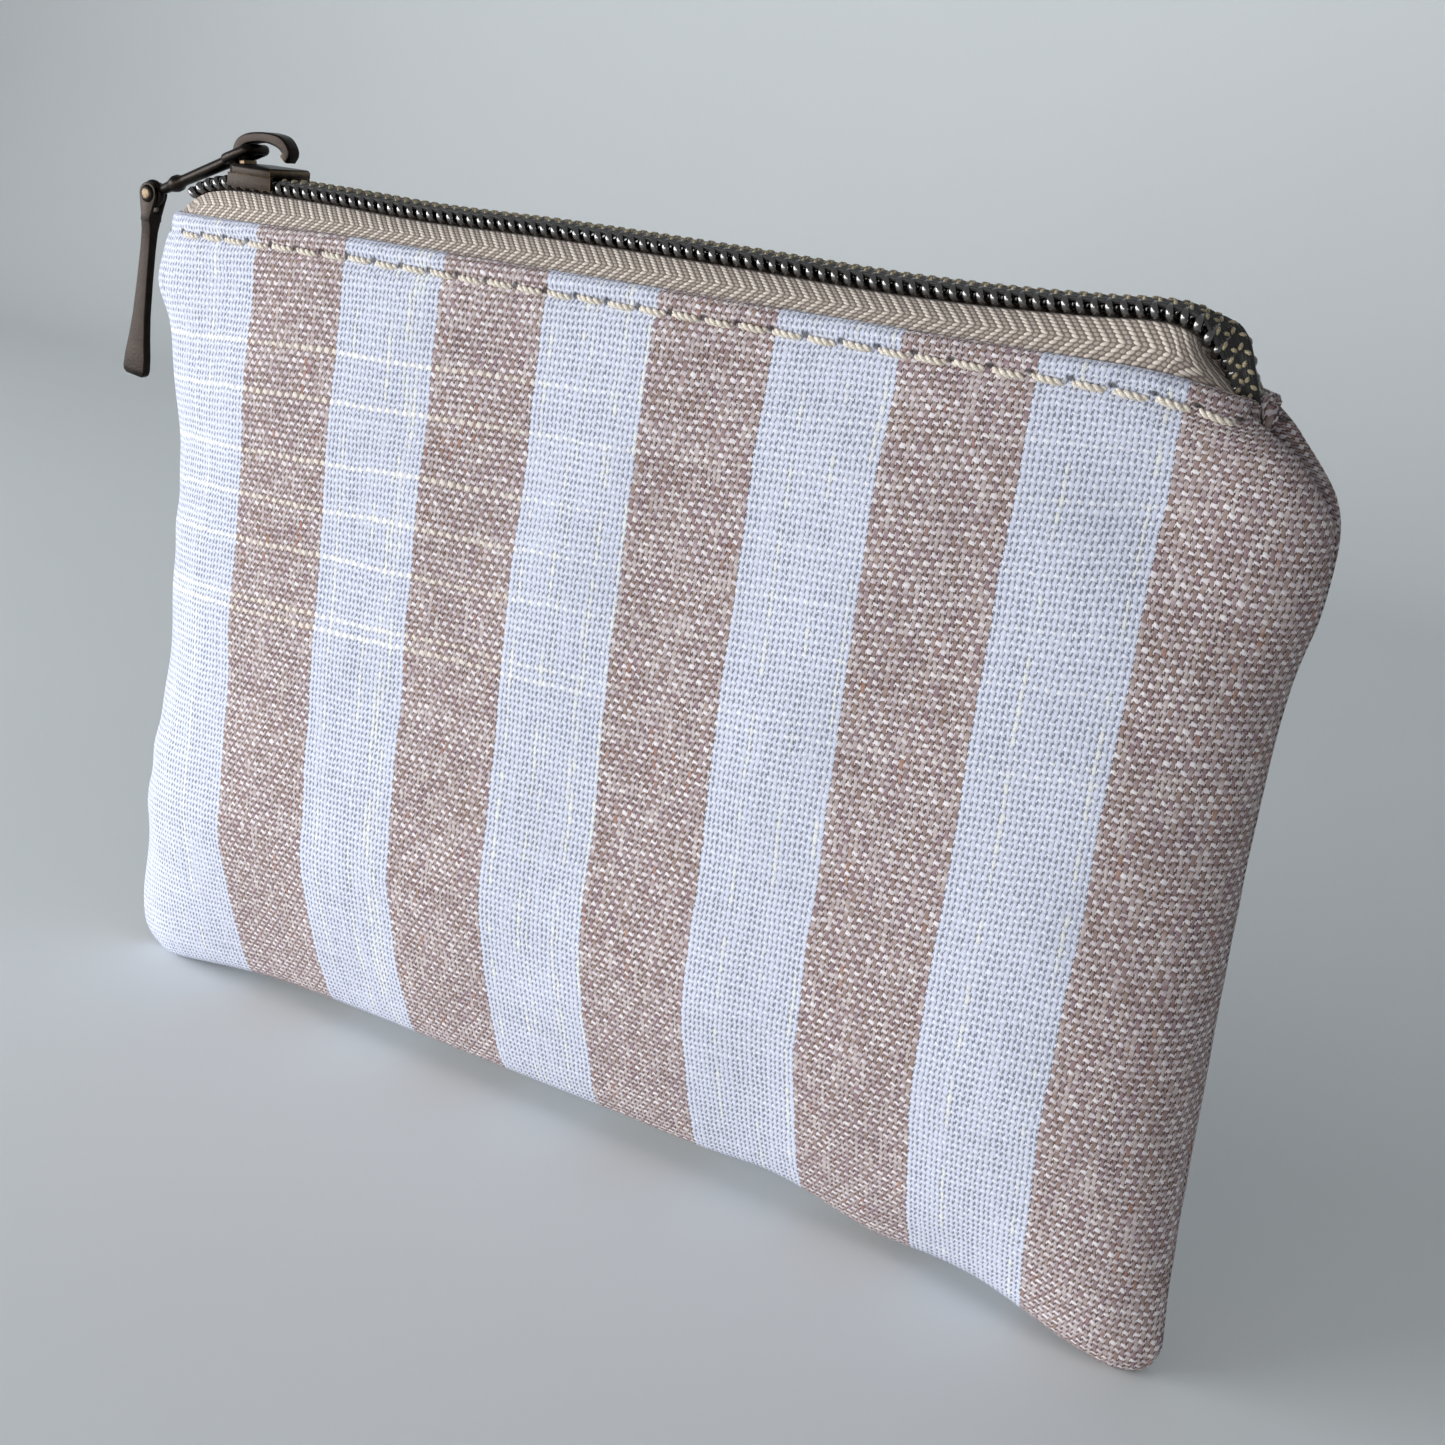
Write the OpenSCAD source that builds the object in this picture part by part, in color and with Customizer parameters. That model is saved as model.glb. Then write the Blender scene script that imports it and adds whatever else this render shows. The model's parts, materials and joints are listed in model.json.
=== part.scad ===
// Small lined fabric pouch with a coil zip across its top.
// X runs along the zip, from the closed end (-X) to the open end (+X). The front faces -Y, and Z is up.
// The origin is in the middle of the edge that the pouch stands on. All sizes are millimetres.

/* [Pouch] */
// Width between the side seams at mid height
pouch_w = 127; // [122:0.5:134]
// Height of the folded top edge of the outer fabric
fold_h = 90.5; // [88:0.5:94]
// Depth from front to back where the pouch is fullest
depth = 19.5; // [17:0.5:24]
// Depth between the two folded top edges, across the zip
mouth_depth = 12; // [11:0.5:13]
// Depth of the narrow base that the pouch stands on
base_depth = 5.6; // [4:0.2:7]
// How far each corner stands out past the seam at mid height
corner_flare = 2.3; // [0:0.1:3]

/* [Fabric] */
// Thickness of the outer fabric
outer_t = 0.5; // [0.4:0.05:0.6]
// Thickness of the fusible interfacing
interfacing_t = 1.1; // [0.8:0.1:1.4]
// Thickness of the lining
lining_t = 0.4; // [0.3:0.05:0.5]
// Depth of the top stitch line below the folded edge
topstitch_drop = 2.2; // [1.8:0.1:3]
// Length from one top stitch to the next
stitch_pitch = 3.6; // [3:0.1:4.5]

/* [Zip] */
// Distance from one coil loop to the next
coil_pitch = 1.3; // [1.2:0.05:1.5]
// Diameter of the coil's wire
coil_wire = 0.5; // [0.4:0.02:0.52]
// Width of one half of the coil, from the middle of the zip outwards
coil_half_w = 2.1; // [1.9:0.05:2.2]
// Height of the middle of the coil
chain_h = 94.3; // [94:0.1:95]
// Length of the slider's plates along the zip
slider_len = 6.8; // [6:0.2:7.2]
// Where the slider's nose is when the zip is closed
slider_nose_x = -57.3; // [-58:0.1:-57]

/* [Puller] */
// Distance between the link's two pivots
link_len = 16.95; // [15:0.05:18]
// Angle of the link below level when it rests over the end of the zip
link_rest = 22.2; // [20:0.1:24]
// Distance from the lower pivot to the tip of the bar
bar_len = 21; // [18:0.5:23]
// Width of the bar at its tip
bar_tip_w = 3.4; // [3:0.1:4]
// Angle of the bar away from upright as it hangs
bar_rest = 6; // [0:1:8]

/* [Hidden] */

linen = "#b9a69a";
linen_back = "#c4b3a6";
fleece = "#f1efe9";
lining_cloth = "#dcd6cc";
tape_beige = "#b3a18c";
gunmetal = "#4a4744";
thread_black = "#2a2620";
thread_cream = "#e6dcc6";
brass_dark = "#5b4c3b";

// Half of the gap between the front and the back panel along their seams
seam_gap = 0.3;
// Height where the pouch is fullest, and where the bottom corners end
full_h = 24;
corner_h = 80;
corner_r = 6;
// Fall of the slanted top corners, in width per height
corner_slope = 0.8;
// Grid of the fabric shells: columns across the width, and the heights of its rows
columns = 22;
row_h = [0, 2, 5, 9, 14, 20, 28, 40, 52, 62, 72, 80, 84, fold_h];
interfacing_rows = len(row_h) - 2;
// The tape's lower edge, hidden between the panel and the lining, and where it stops short of each side
tape_rows = [84.8, 87.6, fold_h];
tape_span = 0.93;
tape_t = 0.6;
tape_inset = 0.7;
// Where the zip starts to drop at each end, how far along, and by how much
chain_left = -57;
chain_right = 49;
chain_end = 6;
chain_drop = 3;
slider_end_x = slider_nose_x + slider_len;
slider_mid_x = slider_nose_x + slider_len / 2;
thread_r = 0.2;
// The link's upper pivot, in the crown, and its lower pivot, in the eye
pivot_x = -55.5;
pivot_z = 97.4;
eye_x = pivot_x - link_len * cos(link_rest);
eye_z = pivot_z - link_len * sin(link_rest);
pin_r = 0.5;
eye_bore_r = 0.75;
rivet_r = 0.7;
// Thickness of the eye along Y, and the inner and outer faces of the bar's cheeks on each side of it
eye_t = 0.9;
cheek_in = 0.55;
cheek_out = 0.92;

function clamp01(t) = min(1, max(0, t));
function ease(t) = let (c = clamp01(t)) c * c * (3 - 2 * c);

// Half of the width between the side seams, at height z
function half_w(z) =
    pouch_w / 2
    + corner_flare * (ease((z - 54) / 24) + pow(clamp01(1 - z / 30), 2))
    - corner_slope * max(0, z - corner_h)
    - (z < corner_r ? corner_r - sqrt(corner_r * corner_r - pow(corner_r - z, 2)) : 0);

// Half of the depth, at height z
function half_d(z) =
    z < full_h
    ? base_depth / 2 + (depth - base_depth) / 2 * pow(1 - pow(1 - z / full_h, 1.25), 0.8)
    : depth / 2 - (depth - mouth_depth) / 2 * pow((z - full_h) / (fold_h - full_h), 1.8);

// Share of the depth that is left at u, which is -1 at the left seam and 1 at the right seam
function fullness(u) = max(0.05, sqrt(1 - pow(abs(u), 8)));

// A point of the front shell, inset by d from the outer face. lift is 0 on the seam under the base.
function shell_point(u, z, d, lift = 1) =
    [u * (half_w(z) - d),
     -(seam_gap + lift * (half_d(z) - seam_gap - d) * fullness(u)),
     d + (fold_h - d) * z / fold_h];

// Height of the middle of the coil, at x
function chain_z(x) =
    chain_h - chain_drop * (ease((chain_left - x) / chain_end) + ease((x - chain_right) / chain_end));

// Columns are closer together near the side seams
function column_u(i, n = columns) = sin(90 * (2 * i / n - 1));

// A closed skin between two grids of points with the same rows and columns
module skin(outer, inner) {
    rows = len(outer);
    cols = len(outer[0]);
    count = rows * cols;
    function at(r, c, side) = side * count + r * cols + c;
    points = concat([for (row = outer) for (p = row) p], [for (row = inner) for (p = row) p]);
    faces = concat(
        [for (r = [0:rows - 2]) for (c = [0:cols - 2])
            for (f = [[at(r, c, 0), at(r + 1, c, 0), at(r + 1, c + 1, 0)],
                      [at(r, c, 0), at(r + 1, c + 1, 0), at(r, c + 1, 0)],
                      [at(r, c, 1), at(r + 1, c + 1, 1), at(r + 1, c, 1)],
                      [at(r, c, 1), at(r, c + 1, 1), at(r + 1, c + 1, 1)]]) f],
        [for (c = [0:cols - 2])
            for (f = [[at(0, c, 0), at(0, c + 1, 0), at(0, c + 1, 1)],
                      [at(0, c, 0), at(0, c + 1, 1), at(0, c, 1)],
                      [at(rows - 1, c, 0), at(rows - 1, c + 1, 1), at(rows - 1, c + 1, 0)],
                      [at(rows - 1, c, 0), at(rows - 1, c, 1), at(rows - 1, c + 1, 1)]]) f],
        [for (r = [0:rows - 2])
            for (f = [[at(r, 0, 0), at(r, 0, 1), at(r + 1, 0, 1)],
                      [at(r, 0, 0), at(r + 1, 0, 1), at(r + 1, 0, 0)],
                      [at(r, cols - 1, 0), at(r + 1, cols - 1, 1), at(r, cols - 1, 1)],
                      [at(r, cols - 1, 0), at(r + 1, cols - 1, 0), at(r + 1, cols - 1, 1)]]) f]);
    polyhedron(points, faces, convexity = 6);
}

// One layer of cloth on the front half, from inset d0 to inset d1, with its own seam strip under the base
function layer_grid(d, top_row) = concat(
    [[for (i = [0:columns]) shell_point(column_u(i), 0, d, 0)]],
    [for (r = [0:top_row]) [for (i = [0:columns]) shell_point(column_u(i), row_h[r], d)]]);

module cloth_layer(d0, d1, top_row = len(row_h) - 1) {
    skin(layer_grid(d0, top_row), layer_grid(d1, top_row));
}

module panel() { cloth_layer(0, outer_t); }

module interfacing() { cloth_layer(outer_t, outer_t + interfacing_t, interfacing_rows); }

module lining() { cloth_layer(outer_t + interfacing_t, outer_t + interfacing_t + lining_t); }

// The tape lies between panel and lining up to the fold, then slopes up and in to the coil
function tape_grid(d) = concat(
    [for (z = tape_rows) [for (i = [0:columns]) shell_point(column_u(i) * tape_span, z, d)]],
    [for (step = [[0.5, 0.42], [1, 0.94]])
        [for (i = [0:columns])
            let (foot = shell_point(column_u(i) * tape_span, fold_h, d),
                 edge_y = -(coil_half_w + 0.2 + tape_inset + tape_t - d))
            [foot[0],
             foot[1] + (edge_y - foot[1]) * step[0],
             foot[2] + (chain_z(foot[0]) - foot[2]) * step[1]]]]);

module zip_tape() { skin(tape_grid(tape_inset), tape_grid(tape_inset + tape_t)); }

// Loops of the coil cross from the coil's outer edge to just past the middle. They lie further out where the slider's
// nose parts them.
module zip_coil(first_x) {
    last = floor((chain_right + chain_end - first_x) / coil_pitch);
    for (i = [0:last]) {
        x = first_x + i * coil_pitch;
        parted = x < slider_nose_x + 2.4 ? 1.1 : 0;
        translate([x, -coil_half_w - parted * 0.35, chain_z(x)])
            rotate([-90, 0, 0])
                cylinder(h = coil_half_w + 0.25 - parted * 0.75, r = coil_wire / 2, $fn = 24);
    }
}

// Sewing thread that holds the coil to the tape, along the top of the coil
module coil_thread() {
    for (y = [-1.55, -0.95])
        translate([slider_end_x + 0.6, y, chain_h + coil_wire / 2 + thread_r])
            rotate([0, 90, 0])
                cylinder(h = chain_right - slider_end_x - 1, r = thread_r, $fn = 16);
}

module topstitch() {
    z = fold_h - topstitch_drop;
    span = pouch_w * 0.86;
    count = floor(span / stitch_pitch);
    for (i = [0:count - 1]) {
        x = (i - (count - 1) / 2) * stitch_pitch;
        on_panel = shell_point(x / half_w(z), z, 0);
        translate([x - stitch_pitch * 0.4, on_panel[1] - thread_r - 0.12, z])
            rotate([0, 90, 0])
                cylinder(h = stitch_pitch * 0.8, r = thread_r, $fn = 16);
    }
}

// Outline of one side, from the seam inwards by seam_w, as a flat strip between the two panels' edges
module side_seam() {
    seam_w = 4;
    heights = [5, 10, 20, 30, 54, 62, 70, 78, 80, 86];
    outer_side = [for (z = heights) [half_w(z) - 0.4, z]];
    inner_side = [for (i = [len(heights) - 1:-1:0]) [half_w(heights[i]) - seam_w, heights[i]]];
    translate([0, seam_gap / 2, 0])
        rotate([90, 0, 0])
            linear_extrude(seam_gap)
                polygon(concat(outer_side, inner_side));
}

// Seam allowance between the two panels' lower edges
module seam_bottom() {
    seam_l = pouch_w - 13;
    translate([-seam_l / 2, -seam_gap / 2, 0]) cube([seam_l, seam_gap, 4.8]);
}

module closing_stitch() {
    count = 16;
    for (i = [0:count - 1])
        translate([(i - count / 2) * stitch_pitch, 0, 5.4])
            rotate([0, 90, 0])
                cylinder(h = stitch_pitch * 0.8, r = 0.25, $fn = 16);
}

// Bar of thread across both halves of the zip
module zip_tack(x) {
    for (step = [0, 0.5, 1])
        translate([x + step, -1.9, chain_z(x + step) + coil_wire + 0.25])
            rotate([-90, 0, 0])
                cylinder(h = 3.8, r = 0.22, $fn = 16);
}

// Die-cast slider: two plates joined by the post in the nose, with a flange down each side of the upper plate
module slider_plate(w_nose, w_tail, thick) {
    linear_extrude(thick)
        polygon([[0, -w_nose / 2 + 0.8], [0.8, -w_nose / 2], [slider_len, -w_tail / 2],
                 [slider_len, w_tail / 2], [0.8, w_nose / 2], [0, w_nose / 2 - 0.8]]);
}

module slider() {
    plate_t = 0.9;
    plate_z = chain_h + 0.6;
    flange_t = 0.7;
    translate([slider_nose_x, 0, 0]) {
        translate([0, 0, plate_z]) slider_plate(6.8, 6.2, plate_t);
        for (side = [-1, 1])
            translate([0.8, side * 2.75 - flange_t / 2, plate_z - 0.55])
                cube([slider_len - 0.8, flange_t, 0.6]);
        translate([0, 0, chain_h - 1.75]) slider_plate(3.6, 3.2, 0.8);
        translate([0.95, 0, chain_h - 1.2]) cylinder(h = 2.2, r = 0.6, $fn = 32);
    }
}

// Open hook over the slider, drawn from the side and given its width along Y
module crown_outline() {
    difference() {
        union() {
            translate([-56.1, 97.3]) circle(r = 2.15, $fn = 48);
            translate([-52.0, 97.4]) circle(r = 2.05, $fn = 48);
            translate([-56.1, 96.6]) square([4.1, 2.85]);
            translate([-58.0, 95.8]) square([1.7, 1.6]);
        }
        translate([-56.3, 95.9]) square([4.4, 2.2]);
        translate([-55.4, 97.4]) circle(r = 0.72, $fn = 32);
        translate([-52.1, 97.3]) circle(r = 0.8, $fn = 32);
        translate([-56.3, 95]) square([8, 1.55]);
        translate([-59, 94]) square([10, 1.8]);
    }
}

module crown() {
    crown_w = 1.8;
    translate([0, crown_w / 2, 0])
        rotate([90, 0, 0])
            linear_extrude(crown_w)
                crown_outline();
}

// The link is drawn along -X from its upper pivot, then turned down to where it rests
module link() {
    arm_y = 1.55;
    arm_l = 3.9;
    stem_r = 0.72;
    translate([pivot_x, 0, pivot_z])
        rotate([0, -link_rest, 0])
            difference() {
                union() {
                    translate([0, -arm_y, 0]) rotate([-90, 0, 0]) cylinder(h = 2 * arm_y, r = pin_r, $fn = 32);
                    for (side = [-1, 1])
                        translate([0, side * arm_y, 0]) {
                            rotate([0, -90, 0]) cylinder(h = arm_l, r = pin_r, $fn = 32);
                            sphere(r = pin_r, $fn = 32);
                        }
                    translate([-arm_l, -arm_y, 0])
                        rotate([-90, 0, 0])
                            cylinder(h = 2 * arm_y, r = stem_r, $fn = 32);
                    translate([-arm_l, 0, 0])
                        rotate([0, -90, 0])
                            cylinder(h = link_len - arm_l - 1.4, r = stem_r, $fn = 32);
                    translate([-link_len, -eye_t / 2, 0])
                        rotate([-90, 0, 0])
                            cylinder(h = eye_t, r = 1.6, $fn = 48);
                }
                translate([-link_len, -2, 0]) rotate([-90, 0, 0]) cylinder(h = 4, r = eye_bore_r, $fn = 48);
            }
}

module at_eye() { translate([eye_x, 0, eye_z]) rotate([0, bar_rest, 0]) children(); }

module rivet() {
    at_eye()
        for (part = [[-cheek_out, 2 * cheek_out, rivet_r], [-cheek_out - 0.3, 0.32, 0.95],
                     [cheek_out - 0.02, 0.32, 0.95]])
            translate([0, part[0], 0]) rotate([-90, 0, 0]) cylinder(h = part[1], r = part[2], $fn = 48);
}

// Flat bar that widens towards its tip, with two cheeks that hold the rivet
module bar() {
    thick = 1.1;
    cheek_t = cheek_out - cheek_in;
    at_eye()
        difference() {
            union() {
                for (y = [-cheek_out, cheek_in]) {
                    translate([0, y, 0]) rotate([-90, 0, 0]) cylinder(h = cheek_t, r = 1.25, $fn = 48);
                    translate([-0.75, y, -3.2]) cube([1.5, cheek_t, 3.2]);
                }
                translate([-0.75, -cheek_out, -3.4]) cube([1.5, 2 * cheek_out, 1.3]);
                translate([0, thick / 2, 0])
                    rotate([90, 0, 0])
                        linear_extrude(thick)
                            polygon([[-0.75, -2.4], [0.75, -2.4], [0.9, -9], [1.05, -15], [bar_tip_w / 2, -19.4],
                                     [bar_tip_w / 2 - 0.5, -bar_len], [-bar_tip_w / 2 + 0.5, -bar_len],
                                     [-bar_tip_w / 2, -19.4], [-1.05, -15], [-0.9, -9]]);
            }
            for (y = [-cheek_out - 0.1, cheek_in - 0.1])
                translate([0, y, 0]) rotate([-90, 0, 0]) cylinder(h = cheek_t + 0.2, r = rivet_r, $fn = 48);
        }
}

module front_panel() { color(linen) panel(); }
module front_interfacing() { color(fleece) interfacing(); }
module front_lining() { color(lining_cloth) lining(); }
module front_zip_tape() { color(tape_beige) zip_tape(); }
module front_zip_coil() { color(gunmetal) zip_coil(-61.5); }
module front_coil_thread() { color(thread_black) coil_thread(); }
module front_topstitch() { color(thread_cream) topstitch(); }
module back_panel() { color(linen_back) mirror([0, 1, 0]) panel(); }
module back_interfacing() { color(fleece) mirror([0, 1, 0]) interfacing(); }
module back_lining() { color(lining_cloth) mirror([0, 1, 0]) lining(); }
module back_zip_tape() { color(tape_beige) mirror([0, 1, 0]) zip_tape(); }
module back_zip_coil() { color(gunmetal) mirror([0, 1, 0]) zip_coil(-61.5 + coil_pitch / 2); }
module back_coil_thread() { color(thread_black) mirror([0, 1, 0]) coil_thread(); }
module back_topstitch() { color(thread_cream) mirror([0, 1, 0]) topstitch(); }
module side_seam_left() { color(linen) mirror([1, 0, 0]) side_seam(); }
module side_seam_right() { color(linen) side_seam(); }
module bottom_seam() { color(linen) seam_bottom(); }
module lining_closing_stitch() { color(thread_cream) closing_stitch(); }
module zip_tack_left() { color(thread_black) zip_tack(-61.5); }
module zip_tack_right() { color(thread_black) zip_tack(53.5); }
module slider_body() { color(brass_dark) slider(); }
module slider_crown() { color(brass_dark) crown(); }
module pull_link() { color(brass_dark) link(); }
module pull_rivet() { color(brass_dark) rivet(); }
module pull_bar() { color(brass_dark) bar(); }

front_panel();
front_interfacing();
front_lining();
front_zip_tape();
front_zip_coil();
front_coil_thread();
front_topstitch();
back_panel();
back_interfacing();
back_lining();
back_zip_tape();
back_zip_coil();
back_coil_thread();
back_topstitch();
side_seam_left();
side_seam_right();
bottom_seam();
lining_closing_stitch();
zip_tack_left();
zip_tack_right();
slider_body();
slider_crown();
pull_link();
pull_rivet();
pull_bar();
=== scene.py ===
"""Striped zippered pouch: the looks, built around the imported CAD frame.

Shapes are in millimetres in the frame's axes (+X along the zip, -Y the front, +Z up) until a mesh is made.
Places and sizes come from the boxes of the CAD nodes.
"""
import json
from math import atan2, ceil, cos, floor, pi, radians, sin
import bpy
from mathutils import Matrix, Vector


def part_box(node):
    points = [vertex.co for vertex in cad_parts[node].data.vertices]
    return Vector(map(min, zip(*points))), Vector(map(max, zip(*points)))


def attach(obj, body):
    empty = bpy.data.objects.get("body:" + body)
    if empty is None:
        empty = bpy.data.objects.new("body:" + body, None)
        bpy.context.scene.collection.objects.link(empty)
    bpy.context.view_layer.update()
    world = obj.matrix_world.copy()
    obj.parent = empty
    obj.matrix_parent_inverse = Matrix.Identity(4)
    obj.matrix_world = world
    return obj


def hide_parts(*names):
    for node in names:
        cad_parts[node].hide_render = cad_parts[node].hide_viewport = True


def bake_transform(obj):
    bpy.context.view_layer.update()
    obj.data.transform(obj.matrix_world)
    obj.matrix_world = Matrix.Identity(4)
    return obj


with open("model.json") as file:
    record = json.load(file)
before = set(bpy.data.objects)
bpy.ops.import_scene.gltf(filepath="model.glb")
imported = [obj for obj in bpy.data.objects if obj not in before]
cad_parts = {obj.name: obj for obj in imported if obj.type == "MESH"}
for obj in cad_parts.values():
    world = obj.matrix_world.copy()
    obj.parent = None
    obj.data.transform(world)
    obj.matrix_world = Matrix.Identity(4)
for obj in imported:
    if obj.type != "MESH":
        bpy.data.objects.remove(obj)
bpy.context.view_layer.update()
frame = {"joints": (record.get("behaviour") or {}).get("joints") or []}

from types import SimpleNamespace

import bmesh
import bpy
import numpy as np
from mathutils import Matrix, Vector

MM = 0.001


def box_mm(node):
    """Lowest and highest corner of a CAD node, in millimetres."""
    low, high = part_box(node)
    return np.array(low) / MM, np.array(high) / MM


# ---- driving dimensions, in millimetres
PANEL_LOW, PANEL_HIGH = box_mm("front_panel")
SLIDER_LOW, SLIDER_HIGH = box_mm("slider_body")
CORNER_X = PANEL_HIGH[0]  # half width across the corners
FOLD_Z = PANEL_HIGH[2]  # top of the folded edge
FULL_Y = -PANEL_LOW[1] - 0.1  # half depth at the fullest height
MOUTH_Y = 6.25  # half depth just under the fold
BASE_Y = 2.8  # half depth of the base it stands on
FULL_Z = 24.0  # height where it is fullest
CLOTH_T = 0.5
FLEECE_T = 1.1
LINING_T = 0.4
SEAM_T = 0.3
FOLD_R = 1.05
# The sides at heights z, as half widths, and the radii of the lower corners
RIGHT_OUTLINE = [(0, 66.0), (12, 64.7), (29, 63.8), (45, 63.4), (58, 63.5), (66, 64.0), (72, 65.1),
                 (77.5, 65.4), (81.5, 64.4), (85, 61.6), (88, 58.7), (90, 56.0), (92, 53.0)]
LEFT_OUTLINE = [(0, 68.0), (6, 68.6), (14, 67.5), (27, 66.4), (36, 65.2), (52, 64.3), (62, 64.3), (70, 65.1),
                (77, 66.0), (82.5, 67.1), (86.4, 66.2), (89.6, 65.0), (92, 63.0)]
RIGHT_CORNER_R, LEFT_CORNER_R = 3.4, 4.2
# How the cloth turns in at the side seams: steps inward, and the share of its depth that it keeps there
SIDE_TUCKS = ((0.45, 0.8), (1.4, 0.6), (2.6, 0.5))
TUCKED = len(SIDE_TUCKS)

# Top stitching: its height below the fold, and its place along the flat cloth
STITCH_DROP = 1.95
STITCH_T = 2.6
STITCH_PITCH = 3.6
STITCH_SHIFT = -0.55
# Woven stripes
STRIPE_W = 12.7
STRIPE_SHIFT = 1.7  # where the stripe edge nearest to the middle lies
WARP_PITCH = 0.53
WEFT_PITCH = 0.715
SLUB_ROWS = (15, 22, 31, 38, 45, 54, 56)  # whole weft rows of thicker, paler yarn, counted down from the fold

# Coil: flattened turns of wire from the outer bend over to the heads, which reach past the middle
COIL_PITCH = 1.3
WIRE_R = 0.33
COIL_OUT_Y = 2.35
COIL_HEAD_Y = 0.3
COIL_HALF_H = 0.5
TAPE_T = 0.45
TAPE_LEFT_X, TAPE_RIGHT_X = -61.0, 50.0  # past these the tape leaves the fold and goes into the seams
# The middle line of the closed zip, side view: x and z. It dips into the seams at both ends.
CHAIN_LINE = [(-65.0, 89.4), (-64.0, 91.0), (-62.0, 92.4), (-59.4, 93.35), (-55, 93.8), (-43, 93.8),
              (-30, 93.6), (-14, 93.9), (6, 93.9), (22, 93.75), (33, 94.0), (42, 94.5), (47, 94.9),
              (50.0, 94.75), (52.4, 93.8), (54.3, 92.1), (55.3, 90.0), (56.1, 87.6), (56.9, 84.8), (57.6, 81.8)]
# Its right end rolls to the front and narrows, between these lengths before the end
ROLL_LENGTHS = 15.0, 9.5
ROLL_MOST = 1.2  # radians
ROLL_PINCH = 0.58

SLIDER_X0, SLIDER_X1, SLIDER_TOP = SLIDER_LOW[0], SLIDER_HIGH[0], SLIDER_HIGH[2]
joint_of = {j["name"]: j for j in frame["joints"]}
PIVOT = np.array(joint_of["pull_link_swing"]["pos_m"]) / MM
EYE = np.array(joint_of["pull_bar_swing"]["pos_m"]) / MM
BAR_HANG = radians(6.8)  # the bar hangs a little off plumb

# A panel's grid: rows under the base, up its face in three lengths, and round the fold
UNDER_ROWS, LOW_ROWS, MIDDLE_ROWS, UPPER_ROWS = 4, 13, 75, 22
LOW_Z, UPPER_Z = 8, 82
UPPER_HEIGHTS = np.linspace(UPPER_Z, FOLD_Z - FOLD_R, UPPER_ROWS)
FACE_HEIGHTS = np.concatenate([np.linspace(0, LOW_Z, LOW_ROWS + 1)[:-1],
                               np.linspace(LOW_Z, UPPER_Z, MIDDLE_ROWS + 1)[:-1], UPPER_HEIGHTS])
UPPER_START = UNDER_ROWS + LOW_ROWS + MIDDLE_ROWS
FOLD_ROW = UPPER_START + UPPER_ROWS + 5  # near the fold's highest point
STITCH_ROW = UPPER_START + int(np.argmin(np.abs(UPPER_HEIGHTS - FOLD_Z + STITCH_DROP)))
COLUMNS = 181


# The front and back halves
FLIP = {"front": 1, "back": -1}
SEED = {"front": 7, "back": 41}
EAR = {"front": 0.0, "back": 1.2}  # how far the upper right corner stands out


# ---- small helpers
def ease(t):
    """0 below 0, 1 above 1, smooth between."""
    t = np.clip(t, 0, 1)
    return t * t * (3 - 2 * t)


def bump_at(x, centre, width):
    """A smooth hill, 1 at centre and 0.37 one width away."""
    return np.exp(-((x - centre) / width) ** 2)


def ripple(a, b, seed, length):
    """Smooth noise between about -1 and 1 from a few crossing waves, the same on every run."""
    waves = np.random.RandomState(seed)
    total = 0
    for _ in range(7):
        heading = waves.uniform(0, pi)
        size = length * waves.uniform(0.7, 1.8)
        phase = waves.uniform(0, 2 * pi)
        total = total + np.sin((a * cos(heading) + b * sin(heading)) * 2 * pi / size + phase)
    return total / 3.2


def distances(points):
    """How far along its line each point is. The line runs along the first axis."""
    steps = np.linalg.norm(np.diff(points, axis=0), axis=-1)
    return np.concatenate([np.zeros_like(steps[:1]), np.cumsum(steps, axis=0)])


def tangents(points):
    """Unit direction of a line at each of its points."""
    way = np.gradient(points, axis=0)
    return way / np.linalg.norm(way, axis=1, keepdims=True)


def full_turn(count):
    """Angles of that many points round a circle."""
    return np.linspace(0, 2 * pi, count + 1)[:-1]


def curve_through(points, step=0.25):
    """Catmull-Rom curve through the points, resampled at even steps of its length."""
    p = np.array(points, float)
    p = np.vstack([2 * p[0] - p[1], p, 2 * p[-1] - p[-2]])
    out = []
    for i in range(1, len(p) - 2):
        t = np.linspace(0, 1, 24, endpoint=False)[:, None]
        out.append(0.5 * (2 * p[i] + (p[i + 1] - p[i - 1]) * t
                          + (2 * p[i - 1] - 5 * p[i] + 4 * p[i + 1] - p[i + 2]) * t ** 2
                          + (3 * p[i] - p[i - 1] - 3 * p[i + 1] + p[i + 2]) * t ** 3))
    dense = np.vstack(out + [p[-2:-1]])
    length = distances(dense)
    even = np.linspace(0, length[-1], max(3, int(length[-1] / step)))
    return np.stack([np.interp(even, length, dense[:, k]) for k in range(p.shape[1])], axis=1)


# ---- meshes and objects
def smooth(mesh):
    mesh.polygons.foreach_set("use_smooth", np.ones(len(mesh.polygons), bool))
    mesh.update()


def mesh_from(name, points, faces):
    """A smooth mesh from points in millimetres."""
    mesh = bpy.data.meshes.new(name)
    mesh.from_pydata((np.array(points) * MM).tolist(), [], faces)
    smooth(mesh)
    return mesh


def add_object(name, data, *materials):
    obj = bpy.data.objects.new(name, data)
    bpy.context.scene.collection.objects.link(obj)
    for material in materials:
        data.materials.append(material)
    return obj


def apply_modifiers(obj):
    bpy.context.view_layer.update()
    made = bpy.data.meshes.new_from_object(obj.evaluated_get(bpy.context.evaluated_depsgraph_get()))
    obj.modifiers.clear()
    old, obj.data = obj.data, made
    bpy.data.meshes.remove(old)
    made.name = obj.name


def grid_faces(rows, cols):
    r, c = np.meshgrid(np.arange(rows - 1), np.arange(cols - 1), indexing="ij")
    first = (r * cols + c).ravel()
    return np.stack([first, first + 1, first + cols + 1, first + cols], axis=1)


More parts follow.
